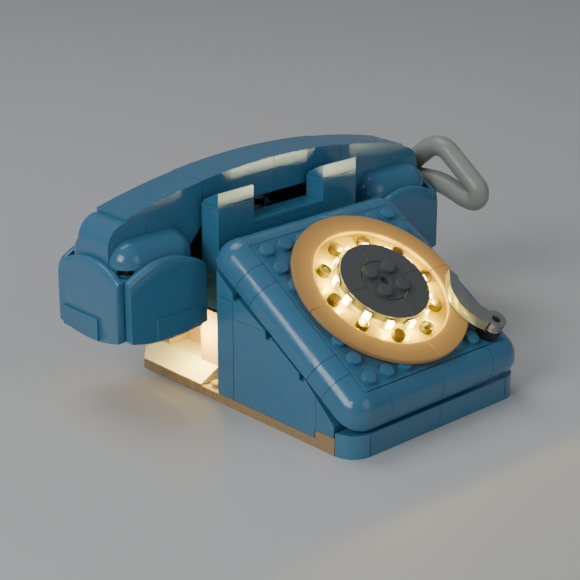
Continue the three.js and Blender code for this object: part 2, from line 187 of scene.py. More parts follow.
# Base: tan plates under the whole model, three rows of them side by side, hollow underneath with
# the wall and tubes that grip the studs below. Moulded ABS, pressed together by hand.
def moulded_plastic(name, colour, roughness, drift=0.10):
    """Moulded ABS: slow drift in tone, a shade per brick, hairline scratches, finger marks and fine grain."""
    paint = Paint(name)
    brick_shade = paint.node("ShaderNodeAttribute", {"attribute_name": "shade"}, {}, "Fac")
    cloud = paint.noise(55.0)
    tone = 0.55 * cloud + 0.45 * brick_shade
    dark = [value * (1 - drift) for value in colour] + [1]
    light = [min(value * (1 + drift), 1) for value in colour] + [1]
    scuffs = 0
    for turn in (0.5, 2.2):
        lines = paint.noise(1.0, 1.0, paint.stretched((4200, 70, 900), (0.4, turn, turn)))
        scuffs = lines.between(0.70, 0.74) + scuffs
    patchy = paint.noise(130.0, 3.0).between(0.5, 0.66)
    scuffs = scuffs * patchy
    specks = paint.noise(1500.0, 1.0).between(0.76, 0.8)
    pale = [value * 0.7 + 0.3 for value in colour] + [1]
    body = paint.mix(tone, dark, light)
    body = paint.mix(scuffs * 0.05 + specks * 0.02, body, pale)
    paint.set("Base Color", body)
    smear = paint.noise(240.0, 3.0).between(0.45, 0.75)
    paint.set("Roughness", roughness + 0.10 * smear + 0.2 * scuffs + 0.08 * specks)
    grain = paint.noise(3200.0, 2.0)
    swell = paint.noise(160.0, 1.0)
    paint.set("Normal", paint.bump(grain * 0.25 + swell, 0.12, 0.00012))
    paint.set("Coat Weight", 0.15 * (1 - smear))
    return paint


def work_on(*objects):
    """Only these are selected, and the first is active."""
    bpy.ops.object.select_all(action="DESELECT")
    for each in objects:
        each.select_set(True)
    bpy.context.view_layer.objects.active = objects[0]


def leave_edit():
    bpy.ops.object.mode_set(mode="OBJECT")


def pick_nothing(piece, mode):
    """Clears the selection of faces, edges or points, and leaves the piece ready to be picked from."""
    work_on(piece)
    bpy.ops.object.mode_set(mode="EDIT")
    bpy.ops.mesh.select_mode(type=mode)
    bpy.ops.mesh.select_all(action="DESELECT")
    leave_edit()


def pick_faces(piece, wanted):
    """Goes to edit mode with the faces selected for which wanted(face) is true."""
    pick_nothing(piece, "FACE")
    for face in piece.data.polygons:
        face.select = bool(wanted(face))
    bpy.ops.object.mode_set(mode="EDIT")


def pick_all(piece):
    """Goes to edit mode with the whole mesh selected."""
    work_on(piece)
    bpy.ops.object.mode_set(mode="EDIT")
    bpy.ops.mesh.select_all(action="SELECT")


def faces_up(face):
    return face.normal.z > 0.9


def faces_down(face):
    return face.normal.z < -0.9


def newly_added():
    """The primitive that was just added, with its place put in its mesh."""
    bpy.ops.object.transform_apply()
    return bpy.context.object


def duplicate(piece, change=None):
    """A copy with its own mesh, moved by a matrix."""
    copy = piece.copy()
    copy.data = piece.data.copy()
    bpy.context.collection.objects.link(copy)
    if change is not None:
        copy.data.transform(change)
    return copy


SAME_POINT = 0.000004
SAME_FACE = math.radians(0.4)


def solid_of(node):
    """A copy of a CAD solid with its triangles merged into whole faces."""
    source = frame["nodes"][node]
    copy = bpy.data.objects.new(node + "_bricks", source.data.copy())
    copy.data.materials.clear()
    bpy.context.collection.objects.link(copy)
    pick_all(copy)
    bpy.ops.mesh.customdata_custom_splitnormals_clear()
    bpy.ops.mesh.remove_doubles(threshold=SAME_POINT)
    bpy.ops.mesh.dissolve_limited(angle_limit=SAME_FACE)
    leave_edit()
    return copy


JOINT = 0.00004


def split(bricks, *cuts):
    """Cuts solids into separate bricks along planes given as (point, normal), a hairline joint apart."""
    for point, normal in cuts:
        halves = []
        for brick in bricks:
            for side in (1, -1):
                half = duplicate(brick)
                pick_all(half)
                bpy.ops.mesh.bisect(
                    plane_co=point + normal * side * JOINT, plane_no=normal * side,
                    use_fill=True, clear_inner=True)
                leave_edit()
                if len(half.data.polygons) > 3:
                    halves.append(half)
                else:
                    bpy.data.objects.remove(half)
            bpy.data.objects.remove(brick)
        bricks = halves
    return bricks


def across(x=None, y=None, z=None):
    """A plane square to one axis of the grid."""
    if x is not None:
        return at(x, 0, 0), Vector((1, 0, 0))
    if y is not None:
        return at(0, y, 0), Vector((0, 1, 0))
    return at(0, 0, z), Vector((0, 0, 1))


MOULD_EDGE = 0.00014
SHARP_EDGE = math.radians(32)
ROUND_SIDE = math.radians(35)


def soften(brick, width, steps=2):
    """Rounds the moulded edges and keeps the flats flat."""
    work_on(brick)
    bpy.ops.object.shade_smooth()
    rounding = brick.modifiers.new("edges", "BEVEL")
    rounding.width = width
    rounding.segments = steps
    rounding.limit_method = "ANGLE"
    rounding.angle_limit = SHARP_EDGE
    bpy.ops.object.modifier_apply(modifier=rounding.name)
    flats = brick.modifiers.new("flats", "WEIGHTED_NORMAL")
    flats.keep_sharp = True
    bpy.ops.object.modifier_apply(modifier=flats.name)


def give_shade(brick, number):
    """The brick's own place, 0 to 1, in the run of tones from one moulding to the next."""
    shade = brick.data.attributes.new("shade", "FLOAT", "POINT")
    value = (number * 0.618 + 0.31) % 1
    for point in shade.data:
        point.value = value


def press_together(bricks, name, paint, body, nodes, edge=MOULD_EDGE):
    """Finishes each brick and makes one piece of them that stands for the CAD nodes."""
    for number, brick in enumerate(bricks):
        if edge:
            soften(brick, edge)
        give_shade(brick, number + len(name))
        if not brick.data.materials:
            brick.data.materials.append(paint.material)
    work_on(*bricks)
    if len(bricks) > 1:
        bpy.ops.object.join()
    piece = bpy.context.object
    piece.name = name
    piece.data.name = name
    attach(piece, body)
    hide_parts(*nodes)
    return piece


def recess(piece, wanted, rim, shift):
    """Leaves a rim round the faces that are wanted and moves what lies inside it up by the shift."""
    pick_faces(piece, wanted)
    bpy.ops.mesh.inset(thickness=rim, depth=0)
    bpy.ops.mesh.extrude_region_move(TRANSFORM_OT_translate={"value": (0, 0, shift)})
    leave_edit()


BRICK_WALL = 0.0012


def hollow_underneath(brick, depth):
    recess(brick, lambda face: faces_down(face) and face.center.z < 0.05 * stud, BRICK_WALL, depth)


PLATE_HOLLOW = 0.002
TUBE_RADIUS = 0.00325
TUBE_WALL = 0.00085
tan_plastic = moulded_plastic("tan_plastic", (0.40, 0.26, 0.125), 0.26)
plates = split([solid_of("base_plate")], across(y=5), across(y=9))
for plate in plates:
    hollow_underneath(plate, PLATE_HOLLOW)
    soften(plate, MOULD_EDGE)
bpy.ops.mesh.primitive_cylinder_add(
    vertices=24, radius=TUBE_RADIUS, depth=PLATE_HOLLOW + 0.0001, location=(0, 0, 0.00125))
tube = newly_added()
recess(tube, faces_down, TUBE_WALL, PLATE_HOLLOW - 0.0001)
tube_rows = [2, 3, 4, 6, 7, 8, 10, 11, 12, 13]
tubes = [
    duplicate(tube, Matrix.Translation(at(x, y, 0)))
    for y in tube_rows for x in range(-4, 5) if y < 13 or abs(x) < 4]
bpy.data.objects.remove(tube)
for tube in tubes:
    work_on(tube)
    bpy.ops.object.shade_smooth_by_angle(angle=ROUND_SIDE)
press_together(plates + tubes, "base", tan_plastic, "phone_base", ["base_plate"], edge=0)

# Front edge of the base: two four-stud bricks and a rounded brick on each corner, moulded in blue ABS
# and pressed on the base plates. The bricks are hollow underneath.
FRONT_HOLLOW = 0.006
blue_plastic = moulded_plastic("blue_plastic", (0.060, 0.195, 0.320), 0.18)
front_bricks = split([solid_of("front_brick")], across(x=0))
for brick in front_bricks:
    hollow_underneath(brick, FRONT_HOLLOW)
front_bricks += [solid_of("front_corner_left"), solid_of("front_corner_right")]
press_together(
    front_bricks, "front_bricks", blue_plastic, "phone_base",
    ["front_brick", "front_corner_left", "front_corner_right"])

# Side walls: slope bricks stacked to follow the underside of the dial face, with small notches where
# one slope meets the next. The tall rear column is a stack of its own.
for side in ("left", "right"):
    front_part = split([solid_of(f"side_wall_{side}_front")], across(y=2.08), across(z=4.06))
    rear_part = split([solid_of(f"side_wall_{side}_rear")], across(z=4.8))
    press_together(
        front_part + rear_part, f"side_wall_{side}", blue_plastic, "phone_base",
        [f"side_wall_{side}_front", f"side_wall_{side}_rear"])

# Body core: blue ABS bricks that fill the space between the side walls. They carry the dial face and
# hide the wiring of the lamps.
press_together(
    split([solid_of("body_core")], across(x=0), across(z=2.1)), "body_filling", blue_plastic,
    "phone_base", ["body_core"])

# Platform behind the body: cream ABS slope bricks round a flat deck of three tiles, pressed on the
# studs of the base plates.
cream_plastic = moulded_plastic("cream_plastic", (0.80, 0.70, 0.48), 0.24)
platform = [solid_of("platform_left"), solid_of("platform_right")]
platform += split([solid_of("platform_rear")], across(x=0))
platform += split([solid_of("platform_deck")], across(x=-2), across(x=2))
press_together(
    platform, "platform", cream_plastic, "phone_base",
    ["platform_left", "platform_right", "platform_rear", "platform_deck"])

# Cradle: a tan foot under a black column with seats for the handle, a blue wall in front with a notch
# between two posts, a wall behind with the same notch on a tan footing, and a slope brick that caps
# each post. All are ABS bricks stacked on the base.
def foot_of(brick):
    """Height of a brick's lowest point above the table, in studs."""
    return min(point.co.z for point in brick.data.vertices) / stud


def middle_of(brick):
    """How far a brick's middle is to the right of the base's middle, in studs."""
    return sum(point.co.x for point in brick.data.vertices) / len(brick.data.vertices) / stud


NOTCH_HALF = 2
black_plastic = moulded_plastic("black_plastic", (0.012, 0.012, 0.013), 0.25)
column = split([solid_of("cradle_foot")], across(z=1.6), across(z=3.4), across(z=4.6), across(z=6.29))
deck = [brick for brick in column if foot_of(brick) > 3]
foot = [brick for brick in column if brick not in deck]
press_together(foot, "cradle_column", tan_plastic, "phone_base", ["cradle_foot"])
press_together(deck, "cradle_seats", black_plastic, "phone_base", ["cradle_foot"])
courses = split([solid_of("cradle_rear")], across(z=2.2), across(z=3.4), across(z=4.6), across(z=5.8))
courses.sort(key=foot_of)
press_together(
    split(courses[:1], across(x=0)), "cradle_footing", tan_plastic, "phone_base",
    ["cradle_rear"])
cradle = split(courses[1::2], across(x=-NOTCH_HALF), across(x=NOTCH_HALF))
cradle += split(courses[2::2], across(x=0))
wall = split([solid_of("cradle_front")], across(z=4.7), across(z=5.9))
wall.sort(key=foot_of, reverse=True)
cradle += split(wall[1:], across(x=0))
cap_low, cap_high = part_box("post_slope_left")
wall_low, wall_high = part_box("cradle_front")
for brick in split(wall[:1], across(x=-NOTCH_HALF), across(x=NOTCH_HALF)):
    if abs(middle_of(brick)) < 1:
        cradle += split([brick], across(z=6.92), across(x=0))
        continue
    # The posts beside the notch are tall bricks that run up to their caps.
    pick_faces(brick, faces_up)
    bpy.ops.transform.translate(value=(0, 0, cap_low.z - 0.0001 - wall_high.z))
    leave_edit()
    cradle.append(brick)
cradle += [solid_of("post_slope_left"), solid_of("post_slope_right")]
press_together(
    cradle, "cradle", blue_plastic, "phone_base",
    ["cradle_front", "cradle_rear", "post_left", "post_right", "post_slope_left", "post_slope_right"])

# Dial face: two studded blue ABS plates side by side that slope to the front. The dial's hinge gives
# their middle and their tilt. The studs are moulded with the plates, each with a crisp rim.
dial_turn = next(joint for joint in frame["joints"] if joint["name"] == "dial_turn")
face_up = Vector(dial_turn["axis"])
face_tilt = math.atan2(-face_up.y, face_up.z)
on_face = Matrix.Translation(dial_turn["pos_m"]) @ Matrix.Rotation(face_tilt, 4, "X")


def face_point(x, y, up):
    """Place on the dial face, in studs from its middle and up from its field."""
    return on_face @ (Vector((x, y, up)) * stud)


def across_face(x=None, y=None):
    """A plane square to the dial face, through a line of its grid."""
    if x is not None:
        return face_point(x, 0, 0), on_face.to_3x3() @ Vector((1, 0, 0))
    return face_point(0, y, 0), on_face.to_3x3() @ Vector((0, 1, 0))


STUD_RADIUS = 0.3 * stud
STUD_HEIGHT = 0.2 * stud
STUD_ROOT = 0.1 * stud
STUD_RIM = 0.0002
bpy.ops.mesh.primitive_cylinder_add(
    vertices=32, radius=STUD_RADIUS, depth=STUD_HEIGHT + STUD_ROOT,
    location=(0, 0, (STUD_HEIGHT - STUD_ROOT) / 2))
stud_model = newly_added()
pick_faces(stud_model, faces_up)
bpy.ops.mesh.bevel(offset=STUD_RIM, segments=3, affect="EDGES")
leave_edit()
bpy.ops.object.shade_smooth_by_angle(angle=ROUND_SIDE)


def studs_at(places, up):
    """Studs on the dial face, with their places and their height above its field in studs."""
    return [duplicate(stud_model, on_face @ Matrix.Translation(Vector((x, y, up)) * stud)) for x, y in places]


FIELD_LIFT = 0.0001
PLATE_THICK = 0.4 * stud
bpy.ops.mesh.primitive_cube_add(
    size=1, scale=(3.985 * stud, 7.975 * stud, PLATE_THICK), location=(2 * stud, 0, -PLATE_THICK / 2))
half_field = newly_added()
recess(half_field, faces_down, BRICK_WALL, PLATE_HOLLOW)
soften(half_field, 0.00012)
fields = [
    duplicate(half_field, on_face @ Matrix.Translation((shift * stud, 0, FIELD_LIFT))) for shift in (0, -4)]
bpy.data.objects.remove(half_field)
# Under the ring the field is bare, and the finger stop sits on the lowest right stud.
BARE_RADIUS = 3.65
STOP_STUD = (3.5, -3.5)
rows = [i - 3.5 for i in range(8)]
field_places = [(x, y) for x in rows for y in rows if math.hypot(x, y) > BARE_RADIUS and (x, y) != STOP_STUD]
press_together(
    fields + studs_at(field_places, FIELD_LIFT / stud), "dial_field", blue_plastic, "phone_base",
    ["face_plate"], edge=0)

# Border of the dial face: quarter-round bricks on the four sides and a domed brick at each corner, in
# blue ABS, clipped to the edge of the studded plates.
border = []
border_nodes = []
for side in ("left", "right"):
    border += split([solid_of(f"bezel_edge_{side}")], across_face(y=2), across_face(y=-2))
    border_nodes.append(f"bezel_edge_{side}")
for side in ("front", "back"):
    border += split([solid_of(f"bezel_edge_{side}")], across_face(x=0))
    border_nodes.append(f"bezel_edge_{side}")
for depth in ("front", "back"):
    for side in ("left", "right"):
        border.append(solid_of(f"bezel_corner_{depth}_{side}"))
        border_nodes.append(f"bezel_corner_{depth}_{side}")
press_together(border, "dial_border", blue_plastic, "phone_base", border_nodes)

# Dial: a wheel with ten finger pegs, under a raised outer ring made of four quarter tiles. It is pale
# ABS, and it turns on a spindle in the middle of the face. Its glow in the lamps' light is painted in,
# as an orange and yellow tint in its colour and as emission.
def painted_lamp_glow(paint, near, far, near_glow, far_glow, rim_glow, strength):
    """Painted glow: emission that stands in for the lamps' light on the plastic, between two distances, in
    studs, from the dial's axis. The painted rim nearest to the lamps shines brightest."""
    from_middle = paint.node(
        "ShaderNodeVectorMath", {"operation": "SUBTRACT"}, {0: paint.place(), 1: dial_turn["pos_m"]})
    square = paint.node(
        "ShaderNodeVectorMath", {"operation": "CROSS_PRODUCT"}, {0: from_middle, 1: dial_turn["axis"]})
    distance = paint.node("ShaderNodeVectorMath", {"operation": "LENGTH"}, {0: square}, "Value")
    glow = paint.mix(distance.between(near * stud, far * stud), near_glow, far_glow)
    rim_from, rim_to = near + 0.02, near + 0.13
    rim = distance.between(rim_from * stud, rim_to * stud)
    paint.set("Emission Color", paint.mix(rim, rim_glow, glow))
    paint.set("Emission Strength", strength)


# Painted lamp light: the ring's white plastic is given an orange colour, and its glow is painted emission.
white_plastic = moulded_plastic("white_plastic", (0.44, 0.26, 0.10), 0.3)
painted_lamp_glow(white_plastic, 3.0, 3.95, (0.42, 0.19, 0.012, 1), (0.07, 0.025, 0.003, 1), (1.0, 0.62, 0.04, 1), 0.55)
quarters = [solid_of(f"ring_quarter_{i}") for i in (1, 2, 3, 4)]
press_together(
    quarters, "dial_ring", white_plastic, "dial",
    [f"ring_quarter_{i}" for i in (1, 2, 3, 4)], edge=0.0003)

PEG_COUNT = 10
PEG_TURN = -4
PEG_CIRCLE = 2.5
PEG_RADIUS = 0.28 * stud
PEG_TOP = 0.44 * stud
WHEEL_RADIUS = 3.3 * stud
bpy.ops.mesh.primitive_cylinder_add(
    vertices=96, radius=WHEEL_RADIUS, depth=0.16 * stud, location=(0, 0, 0.12 * stud))
wheel = newly_added()
recess(wheel, faces_up, 0.1 * stud, -0.0002)
soften(wheel, 0.0001)
wheel.data.transform(on_face)
# Painted lamp light: the pale wheel is given a saturated yellow colour, and its glow is painted emission.
wheel_painted_glow = moulded_plastic("wheel_painted_glow", (0.58, 0.44, 0.004), 0.3)
painted_lamp_glow(wheel_painted_glow, 2.0, 3.1, (0.34, 0.25, 0.0, 1), (0.24, 0.15, 0.0, 1), (1.0, 0.80, 0.0, 1), 1.3)
# The pegs' very dark brown is partly their own dark tan and partly painted shade on their tops.
peg_tan_and_shade = moulded_plastic("peg_tan_and_shade", (0.075, 0.045, 0.008), 0.28)
bpy.ops.mesh.primitive_cylinder_add(
    vertices=32, radius=PEG_RADIUS, depth=PEG_TOP * 0.6, location=(0, 0, PEG_TOP * 0.7))
peg = newly_added()
recess(peg, faces_up, 0.0005, -0.0003)
soften(peg, 0.00015)
peg.data.materials.append(peg_tan_and_shade.material)
pegs = []
for i in range(PEG_COUNT):
    angle = math.radians(360 / PEG_COUNT * i + PEG_TURN)
    spot = Vector((PEG_CIRCLE * math.cos(angle), PEG_CIRCLE * math.sin(angle), 0)) * stud
    pegs.append(duplicate(peg, on_face @ Matrix.Translation(spot)))
bpy.data.objects.remove(peg)
bpy.ops.mesh.primitive_cylinder_add(
    vertices=48, radius=1.5 * stud, depth=0.24 * stud, location=(0, 0, 0.31 * stud))
hub = newly_added()
recess(hub, faces_up, 0.002, -0.0008)
soften(hub, 0.0002)
hub.data.transform(on_face)
press_together(
    [wheel, hub] + pegs, "finger_wheel", wheel_painted_glow, "dial", ["dial_wheel"], edge=0)

# Lamps: thirteen small warm lamps round the rim of the middle disc, on a ring of white tape that
# carries their wires. Each is a white housing with a bulging yellow lens that glows.
LAMP_COUNT = 13
FIRST_LAMP = 100
LAMP_GLOW = 14.0
LAMP_CIRCLE = 2.1 * stud
LAMP_SIZE = Vector((0.14, 0.34, 0.4)) * stud
paint = Paint("lamp_lens")
core = paint.noise(900.0)
paint.set("Base Color", paint.mix(core, (1.0, 0.80, 0.45, 1), (1.0, 0.90, 0.62, 1)))
paint.set("Emission Color", paint.mix(core, (1.0, 0.60, 0.20, 1), (1.0, 0.70, 0.30, 1)))
paint.set("Emission Strength", LAMP_GLOW)
paint.set("Roughness", 0.3)
lamp_lens = paint.material
paint = Paint("lamp_tape")
paint.set("Base Color", paint.mix(paint.noise(700.0), (0.80, 0.70, 0.48, 1), (0.92, 0.86, 0.70, 1)))
paint.set("Roughness", 0.5 + 0.2 * paint.noise(900.0))
lamp_tape = paint.material

bpy.ops.mesh.primitive_cylinder_add(
    vertices=64, radius=2.0 * stud, depth=0.18 * stud, location=(0, 0, 0.33 * stud))
tape = newly_added()
pick_faces(tape, lambda face: abs(face.normal.z) > 0.9)
bpy.ops.mesh.inset(thickness=0.4 * stud, depth=0)
bpy.ops.mesh.bridge_edge_loops()
leave_edit()
soften(tape, 0.0001)
tape.data.materials.append(lamp_tape)

bpy.ops.mesh.primitive_cube_add(size=1, scale=LAMP_SIZE, location=(LAMP_CIRCLE, 0, 0.44 * stud))
lamp = newly_added()
lamp.data.materials.append(lamp_tape)
lamp.data.materials.append(lamp_lens)
pick_faces(lamp, lambda face: face.normal.x > 0.9 or face.normal.z > 0.9)
bpy.ops.mesh.inset(thickness=0.0001, depth=0)
bpy.ops.mesh.extrude_region_move(TRANSFORM_OT_translate={"value": (0.00015, 0, 0.00015)})
lamp.active_material_index = 1
bpy.ops.object.material_slot_assign()
leave_edit()
soften(lamp, 0.00018)
lamp_angles = [math.radians(FIRST_LAMP + 360 / LAMP_COUNT * i) for i in range(LAMP_COUNT)]
parts = [tape] + [duplicate(lamp, Matrix.Rotation(angle, 4, "Z")) for angle in lamp_angles]
bpy.data.objects.remove(lamp)
for part in parts:
    part.data.transform(on_face)
work_on(*parts)
bpy.ops.object.join()
lamps = bpy.context.object
lamps.name = "lamp_ring"
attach(lamps, "dial")
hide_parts("led_strip")


def small_lamp(place, power, tint, size):
    bpy.ops.object.light_add(type="POINT", location=place)
    glow = bpy.context.object
    glow.data.energy = power
    glow.data.color = tint
    glow.data.shadow_soft_size = size
    return glow


def lit_pieces(name, pieces):
    """The only pieces that a lamp's light falls on."""
    lit = bpy.data.collections.new(name)
    for piece in pieces:
        lit.objects.link(bpy.data.objects[piece])
    return lit


LIGHT_CIRCLE = 2.34
LENS_SIZE = 0.0008
for angle in lamp_angles:
    spot = face_point(LIGHT_CIRCLE * math.cos(angle), LIGHT_CIRCLE * math.sin(angle), 0.52)
    small_lamp(spot, 0.007, (1.0, 0.76, 0.03), LENS_SIZE)

# Lamps under the ear caps: one small warm lamp on each side, hidden by the cap, whose light falls on
# the platform and the foot of the cradle.
under_caps = lit_pieces("under_caps", ("platform", "base", "cradle_column", "cradle_footing"))
for side in (-1, 1):
    glow = small_lamp(at(side * 4.9, 9.8, 2.3), 0.075, (1.0, 0.80, 0.20), 0.002)
    glow.light_linking.receiver_collection = under_caps

# Middle disc: four dark grey ABS quarter tiles on the wheel's hub, round a plate with four studs and a
# hole in its middle.
grey_plastic = moulded_plastic("grey_plastic", (0.105, 0.11, 0.105), 0.3)
disc = split([solid_of("dial_disc")], across_face(x=0), across_face(y=0))
press_together(disc, "dial_disc_tiles", grey_plastic, "dial", ["dial_disc"], edge=0.0002)
MIDDLE_RADIUS = 1.02 * stud
MIDDLE_TOP = 0.8
HOLE_RADIUS = 0.2 * stud
bpy.ops.mesh.primitive_cylinder_add(
    vertices=64, radius=MIDDLE_RADIUS, depth=0.35 * stud, location=(0, 0, (MIDDLE_TOP - 0.175) * stud))
middle = newly_added()
recess(middle, faces_up, MIDDLE_RADIUS - HOLE_RADIUS, -0.2 * stud)
soften(middle, 0.00015)
middle.data.transform(on_face)
middle_places = [(-0.5, -0.5), (0.5, -0.5), (0.5, 0.5), (-0.5, 0.5)]
press_together(
    [middle] + studs_at(middle_places, MIDDLE_TOP), "dial_middle", grey_plastic, "dial",
    ["disc_centre"], edge=0)
bpy.data.objects.remove(stud_model)

# Finger stop: a black round plate on the lowest right stud and a grey curved claw that clips on its
# pin and reaches over the ring. Both are ABS.
press_together(
    [solid_of("stop_base")], "stop_plate", black_plastic, "phone_base", ["stop_base"],
    edge=0.0002)
horn_plastic = moulded_plastic("horn_plastic", (0.17, 0.178, 0.172), 0.28)
press_together(
    [solid_of("stop_claw")], "stop_horn", horn_plastic, "finger_stop",
    ["stop_claw"], edge=0.0005)

# Handset handle: a blue ABS core with a rounded end at each side, topped by four bowed tiles of four
# studs. The outer tiles sit a hair lower than the middle ones.
handle_low, handle_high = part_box("handle_core")
handset_x, handset_y, handset_z = (handle_low + handle_high) / 2
on_handset = Vector((handset_x, handset_y, 0))


def handset_cut(x):
    return Vector((handset_x + x * stud, 0, 0)), Vector((1, 0, 0))


TILE_DROP = 0.00018
OUTER_TILE_DROP = 0.00038
handle = split([solid_of("handle_core")], handset_cut(0))
for side, sign in (("left", -1), ("right", 1)):
    handle += split([solid_of(f"handle_end_{side}")], handset_cut(7 * sign))
    tiles = split([solid_of(f"handle_top_{side}")], handset_cut(4 * sign))
    for tile in tiles:
        drop = OUTER_TILE_DROP if abs(middle_of(tile)) > 4.2 else TILE_DROP
        tile.data.transform(Matrix.Translation((0, 0, -drop)))
    handle += tiles
press_together(
    handle, "handle", blue_plastic, "handset",
    ["handle_core", "handle_end_left", "handle_end_right", "handle_top_left", "handle_top_right"],
    edge=0.00011)

# Ear caps: a square core, and an outer panel on three sides with an arched top whose outer edge is
# rolled over. Each panel carries a raised tile at its foot, off its middle. All are blue ABS.
def pick_edges(piece, wanted):
    """Goes to edit mode with the edges selected for which wanted(end, end) is true."""
    pick_nothing(piece, "EDGE")
    corners = piece.data.vertices
    for line in piece.data.edges:
        line.select = bool(wanted(*[corners[i].co for i in line.vertices]))
    bpy.ops.object.mode_set(mode="EDIT")


def pick_points(piece, wanted):
    """Goes to edit mode with the points selected for which wanted(place) is true."""
    pick_nothing(piece, "VERT")
    for point in piece.data.vertices:
        point.select = bool(wanted(point.co))
    bpy.ops.object.mode_set(mode="EDIT")


def turned_over(piece, axis):
    """A mirrored copy, with its faces pointing out again."""
    copy = duplicate(piece, Matrix.Scale(-1, 4, axis))
    pick_all(copy)
    bpy.ops.mesh.normals_make_consistent(inside=False)
    leave_edit()
    return copy


PANEL_HALF = 1.9875 * stud
PANEL_FOOT = 3.12 * stud
PANEL_SHOULDER = 5.96 * stud
PANEL_RISE = 0.64 * stud
FOOT_LIFT = 0.28 * stud
PANEL_THICK = 0.375 * stud
PANEL_COLUMNS = 16
PANEL_ROLL = 0.3 * stud
CAP_EDGE = 0.00016
bpy.ops.mesh.primitive_cube_add(
    size=1, scale=(2 * PANEL_HALF, PANEL_THICK, PANEL_SHOULDER - PANEL_FOOT),
    location=(0, -PANEL_THICK / 2, (PANEL_SHOULDER + PANEL_FOOT) / 2))
panel = newly_added()
for i in range(1, PANEL_COLUMNS):
    pick_all(panel)
    bpy.ops.mesh.bisect(plane_co=(PANEL_HALF * (2 * i / PANEL_COLUMNS - 1), 0, 0), plane_no=(1, 0, 0))
    leave_edit()
pick_edges(panel, lambda a, b: max(a.y, b.y) < -PANEL_THICK * 0.9 and min(a.z, b.z) > PANEL_SHOULDER * 0.99)
bpy.ops.mesh.bevel(offset=PANEL_ROLL, segments=6, affect="EDGES")
leave_edit()
pick_points(panel, lambda place: (
    place.y < -PANEL_THICK * 0.15 and place.z > PANEL_SHOULDER - PANEL_ROLL * 1.03))
bpy.ops.transform.resize(value=(1, 0.55, 1.9), center_override=(0, -PANEL_THICK, PANEL_SHOULDER))
leave_edit()
# The columns' tops rise to an arch and their feet rise a little towards the ends.
middle_height = (PANEL_SHOULDER + PANEL_FOOT) / 2
for i in range(PANEL_COLUMNS + 1):
    reach = 2 * i / PANEL_COLUMNS - 1
    for top, shift in ((True, PANEL_RISE * (1 - reach ** 2)), (False, FOOT_LIFT * reach ** 2)):
        pick_points(panel, lambda place: (
            abs(place.x - reach * PANEL_HALF) < 0.00001 and (place.z > middle_height) == top))
        bpy.ops.transform.translate(value=(0, 0, shift))
        leave_edit()
soften(panel, CAP_EDGE)

# The raised tile at the panel's foot reaches a little past the middle towards one side.
TILE_FROM = -0.72 * stud
TILE_TO = 1.65 * stud
TILE_FOOT = 3.18 * stud
TILE_TOP = 4.15 * stud
TILE_RAISE = 0.08 * stud
TILE_FOOT_LIFT = 0.12 * stud
bpy.ops.mesh.primitive_cube_add(
    size=1, scale=(TILE_TO - TILE_FROM, PANEL_THICK * 0.5 + TILE_RAISE, TILE_TOP - TILE_FOOT),
    location=((TILE_FROM + TILE_TO) / 2, -PANEL_THICK * 0.75 - TILE_RAISE / 2, (TILE_TOP + TILE_FOOT) / 2))
tile = newly_added()
pick_edges(tile, lambda a, b: max(a.z, b.z) < TILE_FOOT * 1.01 and min(a.x, b.x) > TILE_TO * 0.99)
bpy.ops.transform.translate(value=(0, 0, TILE_FOOT_LIFT))
leave_edit()
pick_faces(tile, lambda face: face.normal.y < -0.9)
bpy.ops.mesh.bevel(offset=0.0002, segments=3, affect="EDGES")
leave_edit()
soften(tile, 0.0001)
give_shade(tile, 3)
give_shade(panel, 1)
work_on(panel, tile)
bpy.ops.object.join()

mirrored = turned_over(panel, (1, 0, 0))
ear_middle = {}
for side, sign in (("left", -1), ("right", 1)):
    low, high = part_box(f"ear_panel_{side}_front")
    ear_middle[side] = Matrix.Translation(((low.x + high.x) / 2, handset_y, 0))
    cap = [solid_of(f"ear_core_{side}")]
    soften(cap[0], CAP_EDGE)
    near, far = (panel, mirrored) if side == "left" else (mirrored, panel)
    for model, turn in ((near, 0), (far, 180), (far, 90 * sign)):
        swing = Matrix.Rotation(math.radians(turn), 4, "Z") @ Matrix.Translation((0, high.y - handset_y, 0))
        cap.append(duplicate(model, ear_middle[side] @ swing))
    press_together(
        cap, f"ear_cap_{side}", blue_plastic, "handset",
        [f"ear_core_{side}"] + [f"ear_panel_{side}_{place}" for place in ("front", "back", "side")], edge=0)
bpy.data.objects.remove(panel)
bpy.data.objects.remove(mirrored)

# Ear discs: black round ABS plates pressed on the underside of the caps, with sound grooves moulded
# in rings.
GROOVE_COUNT = 4
GROOVE_WIDTH = 0.0013
GROOVE_DEPTH = 0.0006
low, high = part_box("ear_disc_left")
bpy.ops.mesh.primitive_cylinder_add(
    vertices=64, radius=(high.x - low.x) / 2, depth=high.z - low.z, location=(0, 0, (low.z + high.z) / 2))
ear_disc = newly_added()
pick_faces(ear_disc, faces_down)
for groove in range(GROOVE_COUNT):
    for shift in (GROOVE_DEPTH, -GROOVE_DEPTH):
        bpy.ops.mesh.inset(thickness=GROOVE_WIDTH, depth=0)
        bpy.ops.mesh.extrude_region_move(TRANSFORM_OT_translate={"value": (0, 0, shift)})
leave_edit()
soften(ear_disc, 0.00015)
for side in ("left", "right"):
    press_together(
        [duplicate(ear_disc, ear_middle[side])], f"ear_plate_{side}", black_plastic, "handset",
        [f"ear_disc_{side}"], edge=0)
bpy.data.objects.remove(ear_disc)

